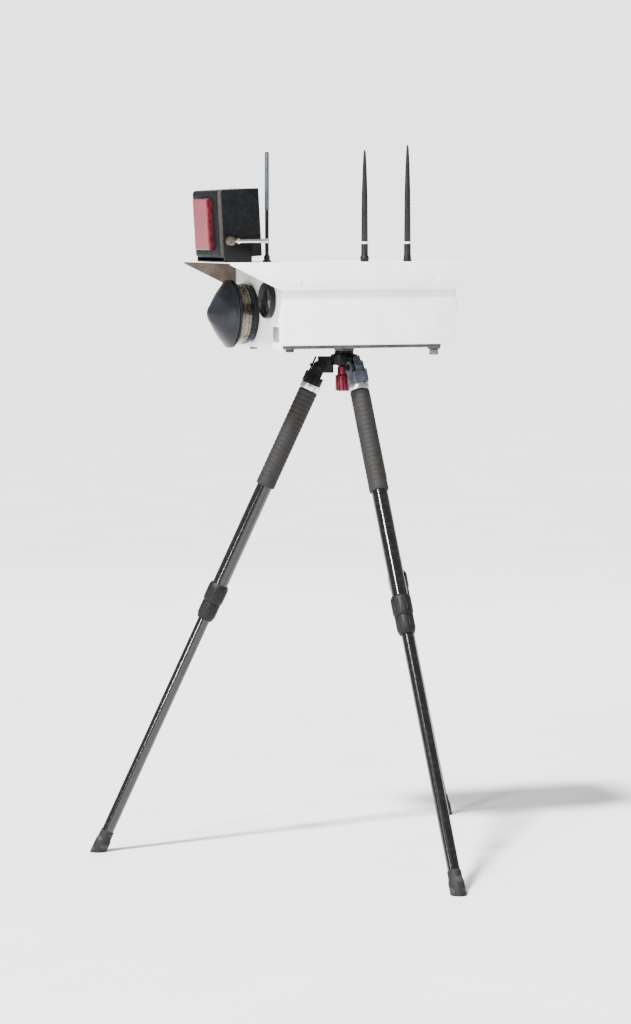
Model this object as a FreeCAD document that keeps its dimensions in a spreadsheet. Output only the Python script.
import FreeCAD, Part
import math
import os

import Sketcher

# A speed enforcement unit: a sheet-metal housing with a radar horn, a camera and a flash,
# carried by a levelling head on a three-section tripod.
# Millimetres. +Z is up, the origin is on the ground below the head, the unit looks along -Y.

os.makedirs("parts", exist_ok=True)
doc = FreeCAD.newDocument("SpeedEnforcementUnit")

DRIVING_SIZES = {
    # tripod head; a text is a formula of the sizes above it
    "hinge_height": 1129.5,
    "ball_centre_height": "=hinge_height + 28.5",
    "bowl_radius": 24,
    "bowl_floor": 6,
    "ball_gap": 0.3,
    "hub_radius": "=bowl_radius + 7",
    "hub_height": 24,
    "hinge_radius": "=hub_radius + 26",
    "hinge_pin_radius": 4,
    "arm_start": "=hub_radius - 7",
    "arm_width": 20,
    "stem_radius": 5,
    "stem_hole_radius": 10,
    "knob_radius": 20,
    "knob_bottom": "=ball_centre_height - 84",
    "pan_disc_radius": "=bowl_radius - 2",
    "pan_disc_thickness": 5.5,
    "mounting_plate_width": 44,
    "mounting_plate_depth": 34,
    "accessory_thread_radius": 4.7625,
    "accessory_thread_depth": 9,
    # tripod legs, measured from the hinge down along the leg
    "leg_splay": 24.5,
    "front_leg_heading": 248,
    "near_leg_heading": 4,
    "far_leg_heading": 132,
    "tube_wall": 1.5,
    "upper_tube_radius": 18,
    "arm_radius": "=upper_tube_radius - 4",
    "middle_tube_radius": "=upper_tube_radius - 2",
    "lower_tube_radius": "=middle_tube_radius - 2",
    "upper_tube_end": 588,
    "upper_lock_length": 47,
    "upper_lock_radius": "=upper_tube_radius + 5.5",
    "lower_lock_length": 41,
    "lower_lock_radius": "=middle_tube_radius + 5.5",
    "tube_overlap": 70,
    "grip_start": 60,
    "grip_length": 242,
    "grip_radius": "=upper_tube_radius + 4.5",
    "grip_rib_pitch": 12,
    "foot_radius": "=lower_tube_radius + 4",
    "foot_sleeve": 24,
    "shoulder_radius": "=upper_tube_radius + 3.5",
    "tube_seat": 40,
    "socket_end": 58,
    "cheek_thickness": 6,
    # housing
    "housing_width": 294,
    "housing_length": 421,
    "housing_height": 174.5,
    "housing_front": -208,
    "housing_bottom": "=hinge_height + 55",
    "sheet_thickness": 2,
    "housing_corner": 3,
    "base_plate_thickness": 7.5,
    "base_plate_length": "=housing_length - 33",
    "cover_thickness": 3,
    # sun shield
    "shield_width": "=housing_width + 16",
    "shield_sheet": 1.5,
    "shield_gap": 10.5,
    "flap_height": 62,
    "visor_reach": 127,
    "shield_rear_reach": 18.5,
    "visor_lip": 5,
    # radar horn, camera and window on the front panel
    "lens_radius": 41,
    "lens_x": "=housing_width / 2 - lens_radius - 39",
    "lens_height": "=housing_bottom + 101",
    "radar_radius": "=min(housing_width / 2 - lens_radius - 28; housing_height / 2 - 9.25)",
    "radar_x": "=radar_radius + 7 - housing_width / 2",
    "radar_height": "=housing_bottom + 67.5",
    "horn_depth": 48,
    "lens_reach": 14,
    "window_x": "=housing_width / 2 - 40",
    "window_height": "=housing_bottom + 24.5",
    "window_width": 37,
    "window_tall": 34,
    # flash
    "flash_width": 172,
    "flash_depth": 100,
    "flash_height": 152,
    "flash_lift": 10,
    "flash_lean": 3.3,
    "flash_corner": 12,
    "flash_pivot_back": 21,
    "flash_pivot_up": 38,
    "lever_length": 89,
    # antennas
    "antenna_x": 60,
    "slim_antenna_y": "=housing_front - 4",
    "slim_antenna_length": 248,
    "middle_antenna_y": "=housing_front + 234",
    "middle_antenna_length": 254,
    "rear_antenna_y": "=housing_front + 340",
    "rear_antenna_length": 266,
    # clearances
    "door_gap": 1,
    "running_gap": 0.3,
    "side_gap": 0.4,
}

sheet = doc.addObject("Spreadsheet::Sheet", "Sizes")
for row, (alias, number) in enumerate(DRIVING_SIZES.items(), start=1):
    sheet.set(f"A{row}", alias)
    sheet.set(f"B{row}", str(number))
    sheet.setAlias(f"B{row}", alias)
doc.recompute()


class Size:
    """A number that also remembers its spreadsheet formula."""

    def __init__(self, formula, value):
        self.formula = formula
        self.value = float(value)

    def __float__(self):
        return self.value

    def __add__(self, other):
        return Size(f"({self.formula} + {formula_of(other)})", self.value + float(other))

    def __radd__(self, other):
        return self + other

    def __sub__(self, other):
        return Size(f"({self.formula} - {formula_of(other)})", self.value - float(other))

    def __rsub__(self, other):
        return Size(f"({formula_of(other)} - {self.formula})", float(other) - self.value)

    def __mul__(self, other):
        return Size(f"({self.formula} * {formula_of(other)})", self.value * float(other))

    def __rmul__(self, other):
        return self * other

    def __truediv__(self, other):
        return Size(f"({self.formula} / {formula_of(other)})", self.value / float(other))

    def __neg__(self):
        return Size(f"(0 - {self.formula})", -self.value)


def formula_of(value):
    return value.formula if isinstance(value, Size) else repr(float(value))


class SheetSizes:
    """Gives each alias of the spreadsheet as an attribute."""

    def __getattr__(self, alias):
        return Size(f"Sizes.{alias}", sheet.get(alias))


S = SheetSizes()
NODES = {}
ALONG = {
    "x": FreeCAD.Rotation(FreeCAD.Vector(0, 1, 0), 90),
    "y": FreeCAD.Rotation(FreeCAD.Vector(1, 0, 0), -90),
    "z": FreeCAD.Rotation(),
    "forward": FreeCAD.Rotation(FreeCAD.Vector(1, 0, 0), 90),
}


# ---- helpers -------------------------------------------------------------------------

def bind(item, **properties):
    """Drives each property from the sheet, or sets it where it is a plain number."""
    for name, value in properties.items():
        if isinstance(value, Size):
            item.setExpression(name, value.formula)
        else:
            setattr(item, name, value)


def place(item, x=0, y=0, z=0, rotation=None):
    spot = FreeCAD.Vector(float(x), float(y), float(z))
    item.Placement = FreeCAD.Placement(spot, rotation or FreeCAD.Rotation())
    for axis, value in zip("xyz", (x, y, z)):
        if isinstance(value, Size):
            item.setExpression(f"Placement.Base.{axis}", value.formula)
    return item


def node(label, item):
    """Registers a finished sub-part under the name of its file."""
    item.Label = label
    NODES[label] = item
    return item


def box(name, x, y, z):
    """A box between three (low, high) pairs."""
    item = doc.addObject("Part::Box", name)
    bind(item, Length=x[1] - x[0], Width=y[1] - y[0], Height=z[1] - z[0])
    return place(item, x[0], y[0], z[0])


def rod(name, radius, length, x=0, y=0, z=0, along="z"):
    item = doc.addObject("Part::Cylinder", name)
    bind(item, Radius=radius, Height=length)
    return place(item, x, y, z, ALONG[along])


def ball(name, radius, x=0, y=0, z=0, bottom=-90, top=90):
    item = doc.addObject("Part::Sphere", name)
    bind(item, Radius=radius, Angle1=bottom, Angle2=top)
    return place(item, x, y, z)


def join(name, parts):
    item = doc.addObject("Part::MultiFuse", name)
    item.Shapes = parts
    item.Refine = True
    return item


def cut(name, base, tools):
    item = doc.addObject("Part::Cut", name)
    item.Base = base
    item.Tool = tools[0] if len(tools) == 1 else join(f"{name}_tools", tools)
    item.Refine = True
    return item


def group(name, parts):
    item = doc.addObject("Part::Compound", name)
    item.Links = parts
    return item


def body_plane(body, role):
    for feature in body.Origin.OriginFeatures:
        if feature.Role == role:
            return feature


def new_sketch(body, name, role, offset=0):
    sketch = body.newObject("Sketcher::SketchObject", name)
    sketch.AttachmentSupport = (body_plane(body, role), [""])
    sketch.MapMode = "FlatFace"
    spot = FreeCAD.Vector(0, 0, float(offset))
    sketch.AttachmentOffset = FreeCAD.Placement(spot, FreeCAD.Rotation())
    if isinstance(offset, Size):
        sketch.setExpression("AttachmentOffset.Base.z", offset.formula)
    return sketch


def drive_point(sketch, geometry, corner, x, y):
    """Ties a sketch point to its distances from the origin."""
    for kind, value in (("DistanceX", x), ("DistanceY", y)):
        constraint = Sketcher.Constraint(kind, -1, 1, geometry, corner, float(value))
        index = sketch.addConstraint(constraint)
        if isinstance(value, Size):
            sketch.setExpression(f"Constraints[{index}]", value.formula)


def draw_outline(sketch, corners):
    """A closed outline of straight sides through the corners."""
    first = sketch.GeometryCount
    points = [FreeCAD.Vector(float(x), float(y), 0) for x, y in corners]
    count = len(points)
    for index, point in enumerate(points):
        sketch.addGeometry(Part.LineSegment(point, points[(index + 1) % count]))
    for index in range(count):
        following = first + (index + 1) % count
        sketch.addConstraint(Sketcher.Constraint("Coincident", first + index, 2, following, 1))
    for index, (x, y) in enumerate(corners):
        drive_point(sketch, first + index, 1, x, y)


def draw_rectangle(sketch, x, y):
    draw_outline(sketch, [(x[0], y[0]), (x[1], y[0]), (x[1], y[1]), (x[0], y[1])])


def draw_circle(sketch, radius, x, y):
    centre = FreeCAD.Vector(float(x), float(y), 0)
    up = FreeCAD.Vector(0, 0, 1)
    index = sketch.addGeometry(Part.Circle(centre, up, float(radius)))
    drive_point(sketch, index, 3, x, y)
    constraint = sketch.addConstraint(Sketcher.Constraint("Radius", index, float(radius)))
    if isinstance(radius, Size):
        sketch.setExpression(f"Constraints[{constraint}]", radius.formula)


def new_body(name):
    return doc.addObject("PartDesign::Body", name)


def extrude(body, kind, name, sketch, length, both_sides=False, backwards=False):
    """A Pad or a Pocket of a sketch."""
    feature = body.newObject(f"PartDesign::{kind}", name)
    feature.Profile = sketch
    bind(feature, Length=length)
    if both_sides:
        feature.SideType = "Symmetric"
    feature.Reversed = backwards
    return feature


def turned(name, outline):
    """A body of revolution about its own Z axis; the outline is (radius, height) points."""
    body = new_body(name)
    sketch = new_sketch(body, f"{name}_profile", "XZ_Plane")
    draw_outline(sketch, outline)
    revolution = body.newObject("PartDesign::Revolution", f"{name}_turn")
    revolution.Profile = sketch
    revolution.ReferenceAxis = (sketch, ["V_Axis"])
    revolution.Angle = 360
    return body


def flute(body, name, count, radius, circle, start, length):
    """Cuts grooves along the body's own axis, evenly spaced round it."""
    doc.recompute()
    sketch = new_sketch(body, f"{name}_flute_sketch", "XY_Plane", start)
    draw_circle(sketch, radius, circle, 0)
    pocket = extrude(body, "Pocket", f"{name}_flute", sketch, length, backwards=True)
    doc.recompute()
    pattern = body.newObject("PartDesign::PolarPattern", f"{name}_flutes")
    pattern.Originals = [pocket]
    pattern.Axis = (sketch, ["N_Axis"])
    pattern.Angle = 360
    pattern.Occurrences = count
    body.Tip = pattern
    return pattern


def round_edges(body, name, radius, chosen):
    """Rounds the edges of the body's last feature that the test chooses."""
    doc.recompute()
    last = body.Tip
    edges = [f"Edge{i + 1}" for i, edge in enumerate(last.Shape.Edges) if chosen(edge)]
    fillet = body.newObject("PartDesign::Fillet", name)
    fillet.Base = (last, edges)
    bind(fillet, Radius=radius)
    return fillet


def runs_along(axis):
    """A test for straight edges parallel to an axis: 0 is X, 1 is Y, 2 is Z."""
    def test(edge):
        if edge.Curve.TypeId != "Part::GeomLine":
            return False
        return abs(edge.Curve.Direction[axis]) > 0.999
    return test


# ---- tripod head ---------------------------------------------------------------------

HEADINGS = {
    "front": S.front_leg_heading,
    "near": S.near_leg_heading,
    "far": S.far_leg_heading,
}
HUB_BOTTOM = S.ball_centre_height - S.hub_height
STOP_REACH = S.hinge_radius + S.arm_radius - 10.5


def at_heading(item, heading, radius=0, height=0):
    """Turns an item about the tripod axis, then moves it out along its heading."""
    angle = math.radians(float(heading))
    spot = FreeCAD.Vector(math.cos(angle), math.sin(angle), 0) * float(radius)
    spot.z = float(height)
    turn = FreeCAD.Rotation(FreeCAD.Vector(0, 0, 1), float(heading))
    item.Placement = FreeCAD.Placement(spot, turn)
    return item


def make_arm(name, heading):
    """A radial arm with a round end for the leg hinge and a ledge for the angle stop."""
    half = S.arm_width / 2
    beam = box(f"{name}_beam", (S.arm_start, S.hinge_radius), (-half, half), (-S.arm_radius, S.arm_radius))
    end = rod(f"{name}_end", S.arm_radius, S.arm_width, S.hinge_radius, -half, 0, "y")
    ledge = box(f"{name}_ledge", (S.hub_radius - 8, STOP_REACH), (-half, half), (S.arm_radius - 3, 24))
    return at_heading(join(name, [beam, end, ledge]), heading, 0, S.hinge_height)


def cross_pin(name, radius, length, heading):
    """A cylinder across a leg hinge, centred on it."""
    pin = rod(name, radius, length)
    angle = math.radians(float(heading))
    outward = FreeCAD.Vector(math.cos(angle), math.sin(angle), 0)
    across = FreeCAD.Vector(-math.sin(angle), math.cos(angle), 0)
    spot = outward * float(S.hinge_radius) - across * (float(length) / 2)
    spot.z = float(S.hinge_height)
    turn = FreeCAD.Rotation(FreeCAD.Vector(0, 0, 1), float(heading))
    pin.Placement = FreeCAD.Placement(spot, turn.multiply(ALONG["y"]))
    return pin


def make_crown():
    hub = rod("hub", S.hub_radius, S.hub_height, z=HUB_BOTTOM)
    floor = ball("bowl_outside", S.bowl_radius + S.bowl_floor, z=S.ball_centre_height, top=0)
    arms = [make_arm(f"{name}_arm", heading) for name, heading in HEADINGS.items()]
    solid = join("crown_solid", [hub, floor] + arms)
    tools = [ball("bowl", S.bowl_radius, z=S.ball_centre_height)]
    tools.append(rod("stem_hole", S.stem_hole_radius, 60, z=HUB_BOTTOM - 30))
    for name, heading in HEADINGS.items():
        tools.append(cross_pin(f"{name}_hinge_drill", S.hinge_pin_radius, S.arm_width + 2, heading))
    mouth = -S.hub_radius - 5
    depth = S.accessory_thread_depth + 5
    tools.append(rod("accessory_drill", S.accessory_thread_radius, depth, mouth, 0, HUB_BOTTOM + 7, "x"))
    node("crown", cut("crown", solid, tools))


def make_hinge_bolts():
    """One bolt a leg: a shank through both cheeks and a head at each end."""
    span = S.arm_width + 2 * S.side_gap + 2 * S.cheek_thickness
    bolts = []
    for name, heading in HEADINGS.items():
        shank = cross_pin(f"{name}_bolt_shank", S.hinge_pin_radius, span + 8, heading)
        heads = cross_pin(f"{name}_bolt_heads", S.hinge_pin_radius + 3, span + 8, heading)
        middle = cross_pin(f"{name}_bolt_middle", S.hinge_pin_radius + 5, span + 1, heading)
        bolts.append(join(f"{name}_bolt", [shank, cut(f"{name}_bolt_ends", heads, [middle])]))
    node("hinge_bolts", group("hinge_bolts", bolts))


def make_levelling_ball():
    radius = S.bowl_radius - S.ball_gap
    half = ball("ball_solid", radius, z=S.ball_centre_height, top=5.2)
    stem_bottom = S.knob_bottom + 6
    stem = rod("ball_stem", S.stem_radius, S.ball_centre_height - stem_bottom - 20, z=stem_bottom)
    node("levelling_ball", join("levelling_ball", [half, stem]))


def make_levelling_knob():
    """A fluted clamp knob whose cupped top follows the underside of the bowl."""
    bore = S.stem_radius + S.running_gap
    reach = S.bowl_radius + S.bowl_floor + 2 * S.running_gap
    cup = S.ball_centre_height - S.knob_bottom - reach
    outline = [(0, 0), (S.knob_radius - 2, 0), (S.knob_radius, 3), (S.knob_radius, cup - 18),
               (S.knob_radius - 5, cup - 15), (S.knob_radius - 5, cup + 2.6), (bore, cup), (bore, 5),
               (0, 5)]
    body = turned("levelling_knob", outline)
    flute(body, "knob", 14, 2, S.knob_radius + 0.8, 2, cup - 19)
    node("levelling_knob", place(body, z=S.knob_bottom))


def make_pan_disc():
    """The turning seat on the levelling ball, with a spigot for the mounting plate."""
    top = S.pan_disc_thickness
    outline = [(0, 0), (S.pan_disc_radius - 1, 0), (S.pan_disc_radius, 1), (S.pan_disc_radius, top),
               (8, top), (8, top + 6), (0, top + 6)]
    body = turned("pan_disc", outline)
    seat = S.ball_centre_height + PAN_SEAT
    node("pan_disc", place(body, z=seat))


PAN_SEAT = (S.bowl_radius - S.ball_gap) * math.sin(math.radians(5.2))
PAN_TOP = S.ball_centre_height + PAN_SEAT + S.pan_disc_thickness


def make_mounting_plate():
    """The plate that turns on the pan disc and carries the housing."""
    bottom = PAN_TOP + S.running_gap
    body = new_body("mounting_plate")
    sketch = new_sketch(body, "mounting_plate_outline", "XY_Plane")
    half_width = S.mounting_plate_width / 2
    half_depth = S.mounting_plate_depth / 2
    draw_rectangle(sketch, (-half_width, half_width), (-half_depth, half_depth))
    extrude(body, "Pad", "mounting_plate_pad", sketch, BASE_BOTTOM - bottom)
    round_edges(body, "mounting_plate_corners", 4, runs_along(2))
    recess = new_sketch(body, "spigot_recess", "XY_Plane")
    draw_circle(recess, 8 + S.running_gap, 0, 0)
    extrude(body, "Pocket", "spigot_pocket", recess, 7, backwards=True)
    node("mounting_plate", place(body, z=bottom))


# ---- tripod legs ---------------------------------------------------------------------

SINE = math.sin(math.radians(float(S.leg_splay)))
COSINE = math.cos(math.radians(float(S.leg_splay)))
LEG_REACH = S.hinge_height / COSINE


def leg_placement(heading):
    """Local X is outward and up, local Z runs down the leg from the hinge."""
    angle = math.radians(float(heading))
    east = math.cos(angle)
    north = math.sin(angle)
    radius = float(S.hinge_radius)
    matrix = FreeCAD.Matrix(
        COSINE * east, north, SINE * east, radius * east,
        COSINE * north, -east, SINE * north, radius * north,
        SINE, 0, -COSINE, float(S.hinge_height),
        0, 0, 0, 1,
    )
    return FreeCAD.Placement(matrix)


def leg_node(label, item, heading):
    item.Placement = leg_placement(heading)
    return node(label, item)


def tube(name, radius, wall, start, end):
    inner = radius - wall
    return turned(name, [(inner, start), (radius, start), (radius, end), (inner, end)])


def make_shoulder(name, heading):
    """A fork over the crown's arm, the socket of the upper tube and the angle stop's guide."""
    inner = S.arm_width / 2 + S.side_gap
    outer = inner + S.cheek_thickness
    pieces = []
    for side, low, high in (("a", inner, outer), ("b", -outer, -inner)):
        pieces.append(box(f"{name}_cheek_{side}", (-S.arm_radius, S.arm_radius), (low, high), (0, 30)))
        pieces.append(rod(f"{name}_ear_{side}", S.arm_radius, S.cheek_thickness, 0, low, 0, "y"))
    pieces.append(rod(f"{name}_socket", S.shoulder_radius, S.socket_end - 24, z=24))
    pieces.append(box(f"{name}_guide", (6, 24), (-outer, outer), (18, 42)))
    solid = join(f"{name}_solid", pieces)
    pin_hole = rod(f"{name}_pin_hole", S.hinge_pin_radius + S.running_gap / 2, 2 * outer + 2,
                   0, -outer - 1, 0, "y")
    bore = rod(f"{name}_bore", S.upper_tube_radius, 60, z=S.tube_seat)
    slot = box(f"{name}_slot", (STOP_LOW - S.running_gap, STOP_HIGH + S.running_gap),
               (-8 - S.running_gap, 8 + S.running_gap), (10, S.tube_seat))
    fork = cut(f"{name}_leg_shoulder", solid, [pin_hole, bore, slot])
    leg_node(f"{name}_leg_shoulder", fork, heading)


STOP_LOW = S.arm_radius + S.running_gap
STOP_HIGH = STOP_LOW + 4.5


def make_angle_stop(name, heading):
    """The sliding tab whose nose meets the crown's ledge; pulled down, it frees the leg."""
    plate = box(f"{name}_stop_plate", (STOP_LOW, STOP_HIGH), (-8, 8), (-18, 29))
    pull = box(f"{name}_stop_pull", (STOP_LOW, STOP_HIGH + 3.5), (-8, 8), (0, 6))
    leg_node(f"{name}_angle_stop", join(f"{name}_angle_stop", [plate, pull]), heading)


def make_grip(name, heading):
    """A ribbed rubber sleeve on the upper tube."""
    start = S.grip_start
    end = start + S.grip_length
    outline = [(S.upper_tube_radius, start), (S.grip_radius - 1.5, start), (S.grip_radius, start + 2),
               (S.grip_radius, end - 2), (S.grip_radius - 1.5, end), (S.upper_tube_radius, end)]
    body = turned(f"{name}_grip", outline)
    doc.recompute()
    groove_sketch = new_sketch(body, f"{name}_grip_groove_profile", "XZ_Plane")
    first = start + S.grip_rib_pitch
    draw_rectangle(groove_sketch, (S.grip_radius - 1.2, S.grip_radius + 1), (first, first + 3))
    groove = body.newObject("PartDesign::Groove", f"{name}_grip_groove")
    groove.Profile = groove_sketch
    groove.ReferenceAxis = (groove_sketch, ["V_Axis"])
    groove.Angle = 360
    doc.recompute()
    ribs = body.newObject("PartDesign::LinearPattern", f"{name}_grip_ribs")
    ribs.Originals = [groove]
    ribs.Direction = (groove_sketch, ["V_Axis"])
    ribs.Length = float(S.grip_length) - 2 * float(S.grip_rib_pitch) - 3
    ribs.Occurrences = int(float(S.grip_length) / float(S.grip_rib_pitch)) - 1
    body.Tip = ribs
    leg_node(f"{name}_grip", body, heading)


def make_upper_lock(name, heading):
    """A twist collar threaded over the end of the upper tube."""
    end = UPPER_LOCK_START + S.upper_lock_length
    radius = S.upper_lock_radius
    outline = [(S.upper_tube_radius + S.running_gap, UPPER_LOCK_START), (radius - 3, UPPER_LOCK_START),
               (radius, UPPER_LOCK_START + 7), (radius, end - 8), (radius - 2.5, end),
               (S.middle_tube_radius + S.side_gap, end),
               (S.middle_tube_radius + S.side_gap, S.upper_tube_end + S.running_gap),
               (S.upper_tube_radius + S.running_gap, S.upper_tube_end + S.running_gap)]
    body = turned(f"{name}_upper_lock", outline)
    flute(body, f"{name}_upper_lock", 16, 1.8, radius + 0.9, UPPER_LOCK_START + 9, 26)
    leg_node(f"{name}_upper_lock", body, heading)


UPPER_LOCK_START = S.upper_tube_end - 35
LOWER_LOCK_START = UPPER_LOCK_START + S.upper_lock_length + 1
MIDDLE_TUBE_END = LOWER_LOCK_START + S.lower_lock_length - 12


def make_lower_lock(name, heading):
    """The twist collar at the end of the middle tube."""
    end = LOWER_LOCK_START + S.lower_lock_length
    radius = S.lower_lock_radius
    outline = [(S.middle_tube_radius + S.running_gap, LOWER_LOCK_START), (radius, LOWER_LOCK_START),
               (radius, end - 12), (radius - 4, end), (S.lower_tube_radius + S.side_gap, end),
               (S.lower_tube_radius + S.side_gap, MIDDLE_TUBE_END + S.running_gap),
               (S.middle_tube_radius + S.running_gap, MIDDLE_TUBE_END + S.running_gap)]
    body = turned(f"{name}_lower_lock", outline)
    flute(body, f"{name}_lower_lock", 16, 1.6, radius + 0.8, LOWER_LOCK_START + 3, 22)
    leg_node(f"{name}_lower_lock", body, heading)


def make_foot(name, heading):
    """A flared rubber foot whose sole is flat on the ground at the standing splay."""
    sleeve = LOWER_TUBE_END - S.foot_sleeve
    outline = [(0, LOWER_TUBE_END), (S.lower_tube_radius, LOWER_TUBE_END), (S.lower_tube_radius, sleeve),
               (S.foot_radius - 2.5, sleeve), (S.foot_radius - 2, sleeve + 18),
               (S.foot_radius, sleeve + 26), (S.foot_radius, LEG_REACH + 12), (0, LEG_REACH + 12)]
    body = turned(f"{name}_foot_solid", outline)
    body.Placement = leg_placement(heading)
    ground = box(f"{name}_ground", (-900, 900), (-900, 900), (-60, 0))
    node(f"{name}_rubber_foot", cut(f"{name}_rubber_foot", body, [ground]))


LOWER_TUBE_START = MIDDLE_TUBE_END - S.tube_overlap
LOWER_TUBE_END = LEG_REACH - 31


def make_leg(name, heading):
    make_shoulder(name, heading)
    make_angle_stop(name, heading)
    upper = tube(f"{name}_upper_tube", S.upper_tube_radius, S.tube_wall, S.tube_seat, S.upper_tube_end)
    leg_node(f"{name}_upper_tube", upper, heading)
    make_grip(name, heading)
    make_upper_lock(name, heading)
    middle = tube(f"{name}_middle_tube", S.middle_tube_radius, S.tube_wall, S.tube_seat + 2, MIDDLE_TUBE_END)
    leg_node(f"{name}_middle_tube", middle, heading)
    make_lower_lock(name, heading)
    lower = tube(f"{name}_lower_tube", S.lower_tube_radius, S.tube_wall, LOWER_TUBE_START, LOWER_TUBE_END)
    leg_node(f"{name}_lower_tube", lower, heading)
    make_foot(name, heading)


# ---- housing -------------------------------------------------------------------------

BASE_BOTTOM = S.housing_bottom - S.base_plate_thickness
HOUSING_TOP = S.housing_bottom + S.housing_height
HOUSING_REAR = S.housing_front + S.housing_length
HALF_WIDTH = S.housing_width / 2
SHIELD_TOP = HOUSING_TOP + S.shield_gap + S.shield_sheet
PAD_X = HALF_WIDTH - 32
PAD_FRONT = S.housing_front + 30
PAD_REAR = HOUSING_REAR - 38
LOCK_KNOB_RADIUS = 10.5


def make_base_plate():
    """The plate under the housing, with a boss for the lock knob."""
    low = S.housing_front
    plate = box("base_sheet", (-HALF_WIDTH + 3, HALF_WIDTH - 3), (low + 3, low + S.base_plate_length),
                (BASE_BOTTOM, S.housing_bottom))
    boss = rod("lock_boss", 14.5, 5, PAD_X, PAD_REAR, BASE_BOTTOM - 5)
    hole = rod("lock_hole", 3 + S.running_gap, 12, PAD_X, PAD_REAR, BASE_BOTTOM - 6)
    node("base_plate", cut("base_plate", join("base_solid", [plate, boss]), [hole]))


def make_base_pads():
    """Three pads; the lock knob takes the fourth corner."""
    pads = []
    for index, (x, y) in enumerate(((-PAD_X, PAD_FRONT), (PAD_X, PAD_FRONT), (-PAD_X, PAD_REAR))):
        foot = doc.addObject("Part::Cone", f"pad_{index}")
        bind(foot, Radius1=9, Radius2=10.5, Height=8)
        pads.append(place(foot, x, y, BASE_BOTTOM - 8))
    node("base_pads", group("base_pads", pads))


def make_lock_knob():
    """The thumb knob that locks the unit on its base plate."""
    outline = [(0, 0), (LOCK_KNOB_RADIUS - 1, 0), (LOCK_KNOB_RADIUS, 1), (LOCK_KNOB_RADIUS, 11),
               (LOCK_KNOB_RADIUS - 2, 13), (3, 13), (3, 23), (0, 23)]
    body = turned("lock_knob", outline)
    flute(body, "lock_knob", 18, 0.8, LOCK_KNOB_RADIUS + 0.3, 0, 11)
    node("lock_knob", place(body, PAD_X, PAD_REAR, BASE_BOTTOM - 5 - S.running_gap - 13))


def make_housing_shell():
    """A folded sheet tube, open at the front and the rear, with a lip in front of the base plate."""
    body = new_body("housing_shell")
    outer = new_sketch(body, "shell_outside", "XZ_Plane")
    draw_rectangle(outer, (-HALF_WIDTH, HALF_WIDTH), (0, S.housing_height))
    extrude(body, "Pad", "shell_pad", outer, S.housing_length, backwards=True)
    round_edges(body, "shell_corners", S.housing_corner, runs_along(1))
    inside = new_sketch(body, "shell_inside", "XZ_Plane")
    wall = S.sheet_thickness
    draw_rectangle(inside, (-HALF_WIDTH + wall, HALF_WIDTH - wall), (wall, S.housing_height - wall))
    extrude(body, "Pocket", "shell_pocket", inside, S.housing_length)
    place(body, 0, S.housing_front, S.housing_bottom)
    lip = box("front_lip", (-HALF_WIDTH + 3, HALF_WIDTH - 3), (S.housing_front, S.housing_front + 2.5),
              (BASE_BOTTOM - 1, S.housing_bottom + 1))
    node("housing_shell", join("housing_shell", [body, lip]))


def make_front_panel():
    wall = S.sheet_thickness
    face = S.housing_front
    sheet_metal = box("panel_sheet", (-HALF_WIDTH + wall, HALF_WIDTH - wall), (face, face + wall),
                      (S.housing_bottom + wall, HOUSING_TOP - wall))
    radar_hole = rod("radar_hole", HORN_NECK, 30, S.radar_x, face + 20, S.radar_height, "forward")
    lens_hole = rod("lens_hole", S.lens_radius - 4, 30, S.lens_x, face + 20, S.lens_height, "forward")
    half = S.window_width / 2
    window_hole = box("window_hole", (S.window_x - half, S.window_x + half), (face - 5, face + 10),
                      (S.window_height - S.window_tall / 2, S.window_height + S.window_tall / 2))
    node("front_panel", cut("front_panel", sheet_metal, [radar_hole, lens_hole, window_hole]))


def make_sensor_window():
    half = S.window_width / 2
    pane = box("sensor_window", (S.window_x - half, S.window_x + half),
               (S.housing_front - 1, S.housing_front + 4),
               (S.window_height - S.window_tall / 2, S.window_height + S.window_tall / 2))
    node("sensor_window", pane)


HINGE_X = -HALF_WIDTH + 4
HINGE_Y = HOUSING_REAR + S.door_gap + S.cover_thickness + 1.5
LATCH_X = HALF_WIDTH - 20


def make_rear_cover():
    """The rear door, hinged on its far upright edge."""
    near = HOUSING_REAR + S.door_gap
    door = box("door_sheet", (-HALF_WIDTH + 1, HALF_WIDTH - 1), (near, near + S.cover_thickness),
               (S.housing_bottom + 1, HOUSING_TOP - 1))
    knuckle = rod("door_knuckle", 3.5, S.housing_height - 30, HINGE_X, HINGE_Y, S.housing_bottom + 15)
    hole = rod("latch_hole", 5 + S.running_gap, 30, LATCH_X, near - 5, MIDDLE_HEIGHT, "y")
    node("rear_cover", cut("rear_cover", join("door_solid", [door, knuckle]), [hole]))


MIDDLE_HEIGHT = S.housing_bottom + S.housing_height / 2


def make_rear_latch():
    """A quarter-turn latch: a shank through the door, a wing outside and a tongue inside."""
    near = HOUSING_REAR + S.door_gap
    far = near + S.cover_thickness
    shank = rod("latch_shank", 5, 22, LATCH_X, far - 16, MIDDLE_HEIGHT, "y")
    head = rod("latch_head", 9, 3, LATCH_X, far + S.running_gap, MIDDLE_HEIGHT, "y")
    wing = box("latch_wing", (LATCH_X - 2, LATCH_X + 2), (far + 3, far + 9),
               (MIDDLE_HEIGHT - 10, MIDDLE_HEIGHT + 10))
    tongue = box("latch_tongue", (LATCH_X - 3, LATCH_X + 15), (far - 16, far - 13),
                 (MIDDLE_HEIGHT - 5, MIDDLE_HEIGHT + 5))
    node("rear_latch", join("rear_latch", [shank, head, wing, tongue]))


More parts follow.
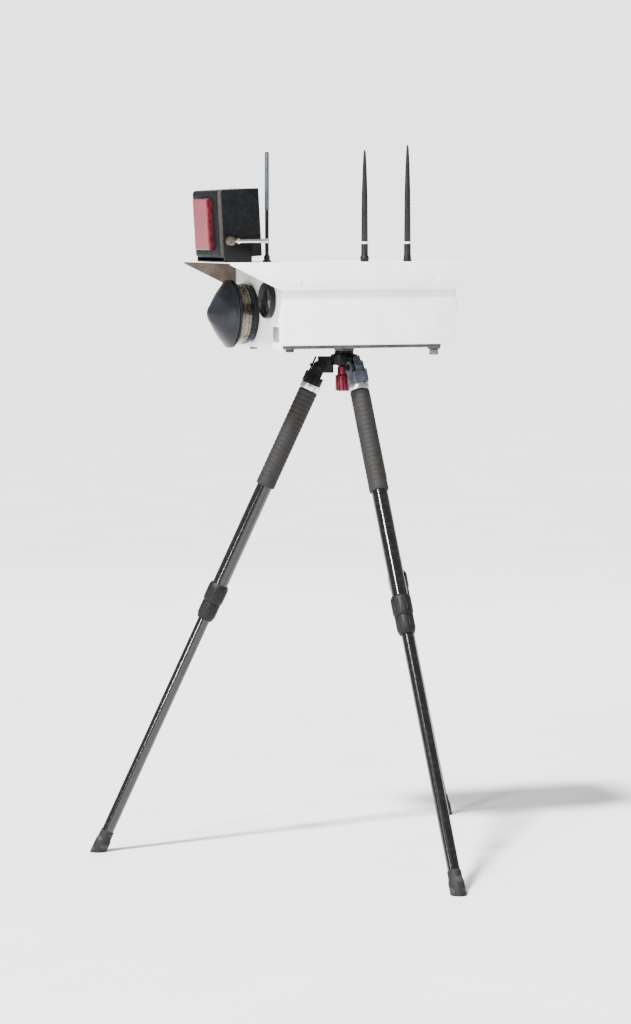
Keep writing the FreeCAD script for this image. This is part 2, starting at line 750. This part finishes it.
def make_sun_shield():
    """A folded roof with two side flaps; it overhangs the front as a visor."""
    front = S.housing_front - S.visor_reach
    rear = HOUSING_REAR + S.shield_rear_reach
    flap_front = S.housing_front - 7
    body = new_body("sun_shield")
    side = new_sketch(body, "shield_side", "YZ_Plane")
    draw_outline(side, [(front, 0), (front, -S.visor_lip), (flap_front, -S.flap_height),
                        (rear, -S.flap_height), (rear, 0)])
    extrude(body, "Pad", "shield_pad", side, S.shield_width, both_sides=True)
    inner = S.shield_width / 2 - S.shield_sheet
    doc.recompute()
    channel = new_sketch(body, "shield_channel", "XZ_Plane")
    draw_rectangle(channel, (-inner, inner), (-S.flap_height - 5, -S.shield_sheet))
    extrude(body, "Pocket", "shield_pocket", channel, 2000, both_sides=True)
    node("sun_shield", place(body, z=SHIELD_TOP))


def make_shield_screws():
    """Screws through the flaps, with spacers that reach the housing."""
    screws = []
    for index, y in enumerate((S.housing_front + 40, HOUSING_REAR - 40)):
        for side in (-1, 1):
            reach = S.shield_width / 2 - HALF_WIDTH
            start = side * HALF_WIDTH if side > 0 else -HALF_WIDTH - reach - 2.5
            name = f"shield_screw_{index}_{'near' if side > 0 else 'far'}"
            spacer = rod(f"{name}_spacer", 5, reach - S.shield_sheet,
                         HALF_WIDTH if side > 0 else -S.shield_width / 2 + S.shield_sheet, y,
                         HOUSING_TOP - 30, "x")
            head = rod(f"{name}_head", 5, 2.5, S.shield_width / 2 if side > 0 else start, y,
                       HOUSING_TOP - 30, "x")
            screws += [spacer, head]
    node("shield_screws", group("shield_screws", screws))


# ---- radar, camera and inner pieces --------------------------------------------------

HORN_NECK = S.radar_radius - 14
FLANGE_START = 19
DOME_START = FLANGE_START + 26


def on_radar_axis(item):
    return place(item, S.radar_x, S.housing_front, S.radar_height, ALONG["forward"])


def make_radar_barrel():
    """The horn's body: a hollow drum through the front panel, with a collar in front of it."""
    neck = HORN_NECK
    rim = S.radar_radius - 9
    outline = [(neck - 6, -60), (neck, -60), (neck, FLANGE_START - 9), (rim - 1, FLANGE_START - 9),
               (rim, FLANGE_START - 8), (rim, FLANGE_START), (neck - 6, FLANGE_START)]
    node("radar_barrel", on_radar_axis(turned("radar_barrel", outline)))


def make_radar_flange():
    rim = S.radar_radius - 10
    outline = [(HORN_NECK - 6, FLANGE_START), (rim - 1, FLANGE_START), (rim, FLANGE_START + 1),
               (rim, DOME_START - 10), (rim + 2, DOME_START - 8), (rim + 2, DOME_START),
               (HORN_NECK - 6, DOME_START)]
    node("radar_flange", on_radar_axis(turned("radar_flange", outline)))


def make_radar_dome():
    """The pointed dielectric lens: a skirt with two beads, then a cone with a rounded tip."""
    rim = S.radar_radius
    base = DOME_START + 10
    tip = base + S.horn_depth
    outline = [(0, DOME_START), (rim - 2, DOME_START), (rim, DOME_START + 1), (rim, DOME_START + 4),
               (rim - 2, DOME_START + 5), (rim, DOME_START + 6), (rim, base - 1), (rim - 1.5, base),
               (rim - 4, base + 1), (22, tip - 9), (17, tip - 4.5), (9, tip - 1), (0, tip)]
    node("radar_dome", on_radar_axis(turned("radar_dome", outline)))


def on_lens_axis(item):
    return place(item, S.lens_x, S.housing_front, S.lens_height, ALONG["forward"])


def make_lens_barrel():
    """The camera's window ring with its tube through the panel."""
    radius = S.lens_radius
    reach = S.lens_reach
    outline = [(radius - 9, -50), (radius - 4, -50), (radius - 4, 0), (radius - 1, 0),
               (radius, 1.5), (radius, reach - 2), (radius - 1.5, reach), (radius - 4, reach),
               (radius - 7, reach - 5), (radius - 9, reach - 5)]
    node("lens_barrel", on_lens_axis(turned("lens_barrel", outline)))


def make_lens_glass():
    radius = S.lens_radius - 9
    outline = [(0, 2), (radius, 2), (radius, 5), (radius * 0.8, 6.2), (radius * 0.5, 7.3), (0, 8)]
    node("lens_glass", on_lens_axis(turned("lens_glass", outline)))


def make_inner_pieces():
    back = S.housing_front + 50
    camera = box("camera_block", (S.lens_x - 32, S.lens_x + 32), (back, back + 90),
                 (S.lens_height - 35, S.lens_height + 35))
    node("camera_module", camera)
    floor = S.housing_bottom + S.sheet_thickness
    rear = HOUSING_REAR
    battery = box("battery_pack", (27 - HALF_WIDTH, HALF_WIDTH - 127), (rear - 156, rear - 26),
                  (floor, floor + 65))
    node("battery_pack", battery)
    board = box("control_board", (HALF_WIDTH - 107, HALF_WIDTH - 22), (rear - 246, rear - 36),
                (floor + 20, floor + 32))
    node("control_board", board)


# ---- flash ---------------------------------------------------------------------------

FLASH_FRONT = S.housing_front - S.visor_reach
FLASH_BOTTOM = SHIELD_TOP + S.flash_lift
PIVOT_Y = FLASH_FRONT + S.flash_pivot_back
PIVOT_Z = FLASH_BOTTOM + S.flash_pivot_up
HALF_FLASH = S.flash_width / 2
LEAN = FreeCAD.Rotation(FreeCAD.Vector(1, 0, 0), float(S.flash_lean))
CHEEK_INNER = HALF_FLASH + S.side_gap
PIVOT_SHANK = 3.8


def at_flash(label, item):
    """Flash pieces are drawn about the tilt pivot, then leaned forward."""
    return node(label, place(item, 0, PIVOT_Y, PIVOT_Z, LEAN))


def make_flash_body():
    """The lamp housing, a rounded box with a front recess for the filter glass."""
    body = new_body("flash_body")
    front = -S.flash_pivot_back
    bottom = -S.flash_pivot_up
    side = new_sketch(body, "flash_side", "YZ_Plane")
    draw_rectangle(side, (front, front + S.flash_depth), (bottom, bottom + S.flash_height))
    extrude(body, "Pad", "flash_pad", side, S.flash_width, both_sides=True)

    def front_edge(edge):
        middle = edge.CenterOfMass
        upright = runs_along(2)(edge) or runs_along(0)(edge)
        return upright and abs(middle.y - float(front)) < 0.01

    round_edges(body, "flash_front_edges", S.flash_corner, front_edge)
    doc.recompute()
    recess = new_sketch(body, "glass_recess", "XZ_Plane", S.flash_pivot_back)
    draw_rectangle(recess, (-GLASS_HALF, GLASS_HALF), (bottom + GLASS_EDGE, bottom + GLASS_EDGE + GLASS_TALL))
    extrude(body, "Pocket", "glass_pocket", recess, LAMP_BACK)
    doc.recompute()
    pivot = new_sketch(body, "pivot_bore_sketch", "YZ_Plane", HALF_FLASH)
    draw_circle(pivot, PIVOT_SHANK + S.running_gap, 0, 0)
    extrude(body, "Pocket", "pivot_bore", pivot, 16)
    at_flash("flash_body", body)


GLASS_HALF = S.flash_width / 2 - 39
GLASS_EDGE = 19
GLASS_TALL = S.flash_height - 37
LAMP_BACK = 30


def make_flash_glass():
    """The red filter: a thick pane that stands proud of the body."""
    body = new_body("flash_glass")
    face = new_sketch(body, "glass_face", "XZ_Plane", S.flash_pivot_back - 6)
    low = GLASS_EDGE - S.flash_pivot_up
    draw_rectangle(face, (-GLASS_HALF, GLASS_HALF), (low, low + GLASS_TALL))
    extrude(body, "Pad", "glass_pad", face, 18)
    doc.recompute()

    def proud_edge(edge):
        return edge.CenterOfMass.y < -float(S.flash_pivot_back) - 11.9

    round_edges(body, "glass_edges", 3, proud_edge)
    at_flash("flash_glass", body)


def make_flash_lamp():
    """The tube and reflector behind the filter."""
    body = new_body("flash_lamp")
    face = new_sketch(body, "lamp_face", "XZ_Plane", S.flash_pivot_back - LAMP_BACK)
    low = GLASS_EDGE - S.flash_pivot_up + 4
    draw_rectangle(face, (-GLASS_HALF + 4, GLASS_HALF - 4), (low, low + GLASS_TALL - 8))
    extrude(body, "Pad", "lamp_pad", face, 22)
    at_flash("flash_lamp", body)


def make_flash_bracket():
    """A yoke bolted to the shield: a foot, two cheeks and their pivot ears."""
    low = FLASH_FRONT + 10
    high = FLASH_FRONT + 76
    reach = CHEEK_INNER + 4
    foot = box("bracket_foot", (-reach, reach), (low, high), (SHIELD_TOP, SHIELD_TOP + 3))
    pieces = [foot]
    for name, start in (("near", CHEEK_INNER), ("far", -reach)):
        pieces.append(box(f"bracket_{name}_cheek", (start, start + 4), (low, high),
                          (SHIELD_TOP, PIVOT_Z - 4)))
        pieces.append(rod(f"bracket_{name}_ear", 13, 4, start, PIVOT_Y, PIVOT_Z, "x"))
    hole = rod("bracket_pivot_hole", PIVOT_SHANK + S.running_gap, 2 * reach + 10, -reach - 5,
               PIVOT_Y, PIVOT_Z, "x")
    node("flash_bracket", cut("flash_bracket", join("bracket_solid", pieces), [hole]))


def make_clamp_lever():
    """The tilt clamp: a pivot hub and a round handle that points to the rear."""
    start = CHEEK_INNER + 4 + S.running_gap
    middle = start + 9
    hub = rod("lever_hub", 10, 17, start, PIVOT_Y, PIVOT_Z, "x")
    shank = rod("lever_shank", PIVOT_SHANK, 16, start - 14, PIVOT_Y, PIVOT_Z, "x")
    collar = rod("lever_collar", 7, 5, middle, PIVOT_Y + 16, PIVOT_Z, "y")
    neck = rod("lever_neck", 4, 20, middle, PIVOT_Y, PIVOT_Z, "y")
    handle = rod("lever_handle", 4.8, S.lever_length - 18, middle, PIVOT_Y + 18, PIVOT_Z, "y")
    node("clamp_lever", join("clamp_lever", [hub, shank, collar, neck, handle]))


# ---- antennas ------------------------------------------------------------------------

def make_antenna(label, y, length, outline):
    """A whip standing on its bushing on the shield."""
    node(label, place(turned(label, outline), S.antenna_x, y, SHIELD_TOP + BUSHING_HEIGHT))


BUSHING_HEIGHT = 5
RING_HEIGHT = 36


def tapered_whip(base, length):
    """A moulded whip with a ring above its thicker foot."""
    return [(0, 0), (base, 0), (base, 4), (8, 9), (8, RING_HEIGHT), (8.4, RING_HEIGHT + 0.5),
            (8.4, RING_HEIGHT + 4), (7.8, RING_HEIGHT + 4.5), (6.6, length * 0.6), (3.2, length - 16),
            (1.8, length - BUSHING_HEIGHT), (0, length - BUSHING_HEIGHT)]


def make_antennas():
    slim = [(0, 0), (7, 0), (7, 9), (4.5, 11), (4.5, S.slim_antenna_length - BUSHING_HEIGHT - 2),
            (3, S.slim_antenna_length - BUSHING_HEIGHT), (0, S.slim_antenna_length - BUSHING_HEIGHT)]
    make_antenna("slim_antenna", S.slim_antenna_y, S.slim_antenna_length, slim)
    middle = tapered_whip(10.5, S.middle_antenna_length)
    make_antenna("middle_antenna", S.middle_antenna_y, S.middle_antenna_length, middle)
    rear = tapered_whip(9, S.rear_antenna_length)
    make_antenna("rear_antenna", S.rear_antenna_y, S.rear_antenna_length, rear)
    bushings = []
    places = (S.slim_antenna_y, S.middle_antenna_y, S.rear_antenna_y)
    for index, y in enumerate(places):
        bushings.append(rod(f"bushing_{index}", 10, BUSHING_HEIGHT, S.antenna_x, y, SHIELD_TOP))
    node("antenna_bushings", group("antenna_bushings", bushings))


# ---- build and write -----------------------------------------------------------------

def write_nodes():
    doc.recompute()
    for item in doc.Objects:
        if "Invalid" in item.State or "Error" in item.State:
            raise RuntimeError(f"{item.Label} failed: {item.State}")
    for label, item in NODES.items():
        if item.Shape.isNull() or not item.Shape.isValid():
            raise RuntimeError(f"{label} has no valid shape")
        item.Shape.exportStep(f"parts/{label}.step")
        print(label, len(item.Shape.Solids), round(item.Shape.Volume / 1000, 1), "cm3")


make_crown()
make_hinge_bolts()
make_levelling_ball()
make_levelling_knob()
make_pan_disc()
make_mounting_plate()
for leg_name, leg_heading in HEADINGS.items():
    make_leg(leg_name, leg_heading)
make_base_plate()
make_base_pads()
make_lock_knob()
make_housing_shell()
make_front_panel()
make_sensor_window()
make_rear_cover()
make_rear_latch()
make_sun_shield()
make_shield_screws()
make_radar_barrel()
make_radar_flange()
make_radar_dome()
make_lens_barrel()
make_lens_glass()
make_inner_pieces()
make_flash_body()
make_flash_glass()
make_flash_lamp()
make_flash_bracket()
make_clamp_lever()
make_antennas()
write_nodes()
